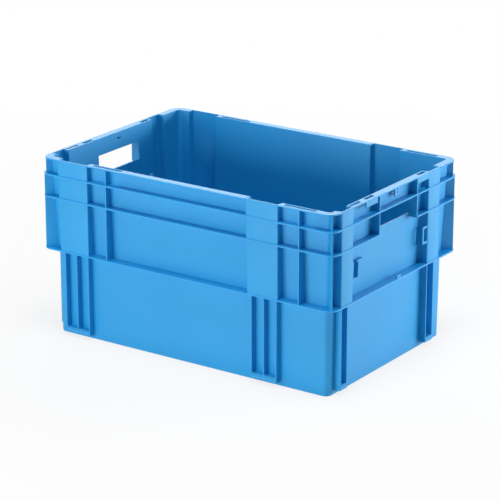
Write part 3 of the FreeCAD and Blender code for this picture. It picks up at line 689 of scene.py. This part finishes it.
def column(side, low, high, ribs):
    """A plate with upright slots, on a foot that is hollow from below.

    Grid columns stand at the borders of the ribs, rows at the foot, the slots' lower
    ends and the flange. The cells between two ribs, above the foot, are the slots.
    """
    pitch = (high - low - COLUMN_RIB) / (ribs - 1)
    starts = low + pitch * np.arange(ribs)
    places = np.sort(np.concatenate([starts, starts + COLUMN_RIB]))
    levels = np.array([SLOT_LEVEL - COLUMN_RIB, SLOT_LEVEL, flange_low + FLANGE_OVERLAP])
    along, height = np.meshgrid(places, levels)
    plate = [side_frame(side, along, depth, height) for depth in (COLUMN_INSET, COLUMN_BACK)]
    slots = np.zeros((2, len(places) - 1), bool)
    slots[1, 1::2] = True
    around = np.array([[low, COLUMN_BACK], [low, COLUMN_INSET],
                       [high, COLUMN_INSET], [high, COLUMN_BACK]])
    inward = np.array([[1, 0], [1, 1], [-1, 1], [-1, 0]]) * COLUMN_RIB
    rows = np.array([FOOT_LEVEL, SLOT_LEVEL - OVERLAP])[:, None]
    foot = [side_frame(side, path[None, :, 0], path[None, :, 1], rows)
            for path in (around, around + inward)]
    return [two_skins(*plate, slots), two_skins(*foot)]


for side, names in PAIRS.items():
    axis = axis_along(side)
    for name in names:
        label = "stack_column_" + side + "_" + name
        low, high = node_box(label)
        surfaces = column(side, low[axis], high[axis], 3 if axis == 0 else 2)
        moulded_piece("column_" + side + "_" + name, surfaces, [label])

# %% [markdown]
# ## Floor
# The floor is a flat plate between the walls, with a grid of low bars under it that
# keeps it stiff on a roller track. Each row of the plate is as long as the rounded
# rectangle is wide there.

# %% Floor plate and bars
FLOOR_LAP, BAR, BAR_LOW, BAR_LAP = 1.6, 2.5, 0.2, 0.5
floor_low, floor_high = node_box("floor_plate")
half_floor = HALF - inset_base - FLOOR_LAP


def rounded_plate(half_x, half_y, corner, level, columns=13):
    """A grid that fills a rounded rectangle.

    At a distance y from the middle the half width is half_x, and over the last
    corner radius r it is half_x - r + sqrt(r^2 - (y - half_y + r)^2).
    """
    turn = np.linspace(0, math.pi / 2, 7)
    end = half_y - corner + corner * np.sin(turn)
    rows = np.concatenate([-end[::-1], np.linspace(-1, 1, 9)[1:-1] * (half_y - corner), end])
    over = np.clip(np.abs(rows) - half_y + corner, 0, corner)
    width = half_x - corner + np.sqrt(np.maximum(corner ** 2 - over ** 2, 0.0))
    share = np.linspace(-1, 1, columns)
    x = width[:, None] * share[None, :]
    y = np.broadcast_to(rows[:, None], x.shape)
    return np.stack([x, y, np.full_like(x, level)], -1)


plates = [rounded_plate(*half_floor, BOX_CORNER - FLOOR_LAP, level)
          for level in (floor_high[2], floor_low[2])]
moulded_piece("floor", [two_skins(*plates)], ["floor_plate"], 0)


def slab(low, high):
    """A block between two corners, as two 2 by 2 grids."""
    low, high = np.array(low, float), np.array(high, float)
    x, y = np.meshgrid([low[0], high[0]], [low[1], high[1]])
    return two_skins(*[np.stack([x, y, np.full_like(x, level)], -1) for level in (high[2], low[2])])


bars = []
for axis, count, pitch in ((0, 5, 46.0), (1, 3, 44.0)):
    for middle in np.arange(-count, count + 1) * pitch:
        low, high = [*-half_floor, BAR_LOW], [*half_floor, floor_low[2] + BAR_LAP]
        low[axis], high[axis] = middle - BAR / 2, middle + BAR / 2
        bars.append(slab(low, high))
moulded_piece("floor_bars", bars, ["floor_grid"], 0.4, 1)

# %% [markdown]
# ## Small features of the ends
# Each end has a card holder, which is a clip with an opening behind it and a ledge over
# the slot at the other edge, and a lug with two holes for a wire seal. Two lips hang
# under the rim and a small catch stands on the flange. They are all small plates,
# again with their openings left out of the grid.

# %% Plates that face outward
def plate_on_end(side, along, levels, near_depth, far_depth, opened=None, moved=None):
    """A plate that faces outward on an end, between two depths."""
    along, height = np.meshgrid(np.array(along, float), np.array(levels, float))
    if moved is not None:
        along, height = moved(along, height)
    return two_skins(side_frame(side, along, near_depth, height),
                     side_frame(side, along, far_depth, height), opened)


def octagon_holes(along, height):
    """Pull the corner points round each hole onto its circle, so 8 points share a radius."""
    along, height = along.copy(), height.copy()
    centre = along[0, 2]
    for row in (2, 5):
        for i in (row - 1, row + 1):
            for j in (1, 3):
                along[i, j] = centre + (along[i, j] - centre) * math.sqrt(0.5)
                height[i, j] = height[row, 2] + (height[i, j] - height[row, 2]) * math.sqrt(0.5)
    return along, height


print("a plain plate has", len(plate_on_end("right", [0, 10], [0, 10], 0, 3)[1]), "faces")

# %% Card clips
CLIP_DEPTHS, CLIP_REACH = (3.0, 5.4), 1.2
for side in ("left", "right"):
    low, high = node_box("card_clip_" + side)
    levels = [low[2], low[2] + CLIP_BAR, high[2] - CLIP_BAR, high[2]]
    window = np.zeros((3, 2), bool)
    window[1, 1] = True
    places = [low[1], low[1] + CLIP_BAR, high[1] + CLIP_REACH]
    clip = plate_on_end(side, places, levels, *CLIP_DEPTHS, window)
    moulded_piece("clip_" + side, [clip], ["card_clip_" + side])

# %% Seal lugs
LUG_HOLE, UPPER_HOLE, LOWER_HOLE = 1.6, rim_low - 3.4, rim_low - 8.9
LUG_DEPTHS, LUG_EDGE = (5.0, 7.4), 0.3
WEB, WEB_START, BARELY = 2.4, 7.0, 0.1
for side in ("left", "right"):
    low, high = node_box("seal_lug_" + side)
    middle_y, lug_top = (low[1] + high[1]) / 2, high[2] + OVERLAP
    levels = [low[2], LOWER_HOLE - LUG_HOLE, LOWER_HOLE, LOWER_HOLE + LUG_HOLE,
              UPPER_HOLE - LUG_HOLE, UPPER_HOLE, UPPER_HOLE + LUG_HOLE, lug_top]
    places = [low[1], middle_y - LUG_HOLE, middle_y, middle_y + LUG_HOLE, high[1]]
    holes = np.zeros((7, 4), bool)
    holes[1:3, 1:3] = True
    holes[4:6, 1:3] = True
    lug = plate_on_end(side, places, levels, *LUG_DEPTHS, holes, octagon_holes)
    # a web ties the lug's far edge to the wall and screens the wire hole from the side
    web = plate_on_end(side, [high[1] - WEB, high[1] - BARELY], [low[2] + BARELY, lug_top],
                       WEB_START, inset_rim + OVERLAP)
    moulded_piece("lug_" + side, [lug, web], ["seal_lug_" + side], LUG_EDGE)

# %% Lips, ledges and catches
LIP_PLACES, LIP_DEPTHS = ((-100.0, -64.0), (64.0, 100.5)), (RIM_INSET, 3.9)
LEDGE, LEDGE_DEPTHS = 3.0, (10.0, 17.5)
CATCH_PLACES, CATCH_DEPTHS = (2.0, 15.0), (2.0, 4.4)
CATCH_LEVELS = (flange_low + 0.5, flange_high + 5.0)
for side in ("left", "right"):
    lip_low = node_box("rim_" + side)[0][2]
    fittings = [plate_on_end(side, places, [lip_low, rim_low + OVERLAP], *LIP_DEPTHS)
                for places in LIP_PLACES]
    fittings.append(plate_on_end(side, [SLOT_NEAR - LEDGE, SLOT_FAR + LEDGE],
                                 [SLOT_HIGH, SLOT_HIGH + LEDGE], *LEDGE_DEPTHS))
    fittings.append(plate_on_end(side, CATCH_PLACES, CATCH_LEVELS, *CATCH_DEPTHS))
    moulded_piece("end_fittings_" + side, fittings, ["rim_" + side])
print("dressed pieces:", len(made_pieces))

# %% [markdown]
# ## Studio
# Soft light comes from four large panels in a pale room: one on either side of the
# camera, one above, and a weak one behind that draws the far edges of the rim. The
# room and the floor look white to the camera and to glossy rays, but are dim or plain
# pale for light that bounces, so the crate keeps its shadow. Close to the crate the
# floor's painted glow is weaker, which is painted shade on the floor round the crate.

# %% World
scene = bpy.context.scene
scene.view_settings.view_transform = "Standard"


def seen_directly(tree):
    """The output that is 1 for rays from the camera and for glossy rays, else 0."""
    rays = node(tree, "ShaderNodeLightPath").outputs
    links = [(0, rays["Is Camera Ray"]), (1, rays["Is Glossy Ray"])]
    return node(tree, "ShaderNodeMath", links, operation="MAXIMUM").outputs[0]


world = bpy.data.worlds.new("pale_room")
scene.world = world
world.use_nodes = True
tree = world.node_tree
background = tree.nodes["Background"]
level = node(tree, "ShaderNodeMapRange", [("Value", seen_directly(tree))],
             at_1=0.0, at_2=1.0, at_3=0.08, at_4=1.0)
tree.links.new(level.outputs[0], background.inputs["Strength"])
background.inputs["Color"].default_value = (1, 1, 1, 1)
print("world:", world.name)

# %% Lamps
def panel_light(name, azimuth, elevation, distance, width, height, power):
    """A flat lamp that faces the crate from an azimuth (0 is -Y, 90 is +X) and elevation."""
    a, e = math.radians(azimuth), math.radians(elevation)
    away = np.array([math.sin(a) * math.cos(e), -math.cos(a) * math.cos(e), math.sin(e)])
    lamp = bpy.data.lights.new(name, "AREA")
    lamp.shape = "RECTANGLE"
    lamp.size, lamp.size_y = width, height
    lamp.energy = power
    holder = bpy.data.objects.new(name, lamp)
    scene.collection.objects.link(holder)
    holder.location = away * distance + np.array([0, 0, 0.16])
    holder.rotation_euler = (math.pi / 2 - e, 0, a)
    print(name, "at", holder.location[:], power, "W")


panel_light("panel_left", -12, 8, 2.6, 1.6, 0.7, 45.0)
panel_light("panel_right", 132, 8, 2.6, 1.6, 0.7, 66.0)
panel_light("panel_back", 214, 24, 2.6, 1.6, 0.7, 19.0)
panel_light("panel_top", 35, 78, 3.0, 1.2, 1.2, 64.0)

# %% Floor of the studio
ground = bpy.data.meshes.new("studio_floor")
REACH, BELOW = 15.0, -0.0005
ground.from_pydata([(-REACH, -REACH, BELOW), (REACH, -REACH, BELOW),
                    (REACH, REACH, BELOW), (-REACH, REACH, BELOW)], [], [(0, 1, 2, 3)])
studio_floor = bpy.data.objects.new("studio_floor", ground)
scene.collection.objects.link(studio_floor)
pale = bpy.data.materials.new("white_board_painted_glow")
pale.use_nodes = True
tree = pale.node_tree
shader = tree.nodes["Principled BSDF"]
shader.inputs["Base Color"].default_value = (0.8, 0.8, 0.8, 1)
shader.inputs["Roughness"].default_value = 0.9
place = node(tree, "ShaderNodeTexCoord").outputs["Object"]
away = node(tree, "ShaderNodeVectorMath", [(0, place)], operation="LENGTH")
# the painted glow rises from 0.8 at half a metre from the middle to 1 at 1.6 m: painted shade round the
# crate
painted_shade_sweep = node(tree, "ShaderNodeMapRange", [("Value", away.outputs["Value"])],
             at_1=0.5, at_2=1.6, at_3=0.8, at_4=1.0)
share = node(tree, "ShaderNodeMath", [(0, seen_directly(tree)), (1, painted_shade_sweep.outputs[0])],
             operation="MULTIPLY")
# the painted glow: a white emission that the camera and glossy rays see on the floor
glow = node(tree, "ShaderNodeEmission")
mix = node(tree, "ShaderNodeMixShader",
           [(0, share.outputs[0]), (1, shader.outputs[0]), (2, glow.outputs[0])])
tree.links.new(mix.outputs[0], tree.nodes["Material Output"].inputs["Surface"])
ground.materials.append(pale)
studio_floor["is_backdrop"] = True
print("studio floor of", 2 * REACH, "m")

# %% [markdown]
# ## Camera
# The camera stands some four metres away with a long lens, so that the long sides of
# the crate run nearly parallel. A short lens close by would spread them apart. It
# looks from the front right and from above, which shows the inside and one whole end.

# %% Camera
lens = bpy.data.cameras.new("camera")
lens.lens, lens.sensor_width = 173.526, 36.0
lens.clip_end = 100.0
camera = bpy.data.objects.new("camera", lens)
scene.collection.objects.link(camera)
camera.location = (2.2484, -3.2696, 1.4844)
camera.rotation_euler = (math.radians(71.446), 0, math.radians(34.498))
scene.camera = camera
print("lens", lens.lens, "mm")

# %% [markdown]
# ## Measure and finish
# Last, the box of the dressed crate is measured and printed, like the box of the CAD
# model at the start. The two should be the same, because every surface above took its
# place from a CAD node.

# %% Measure and finish
low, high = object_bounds()
print("visual box", tuple(low), tuple(high))
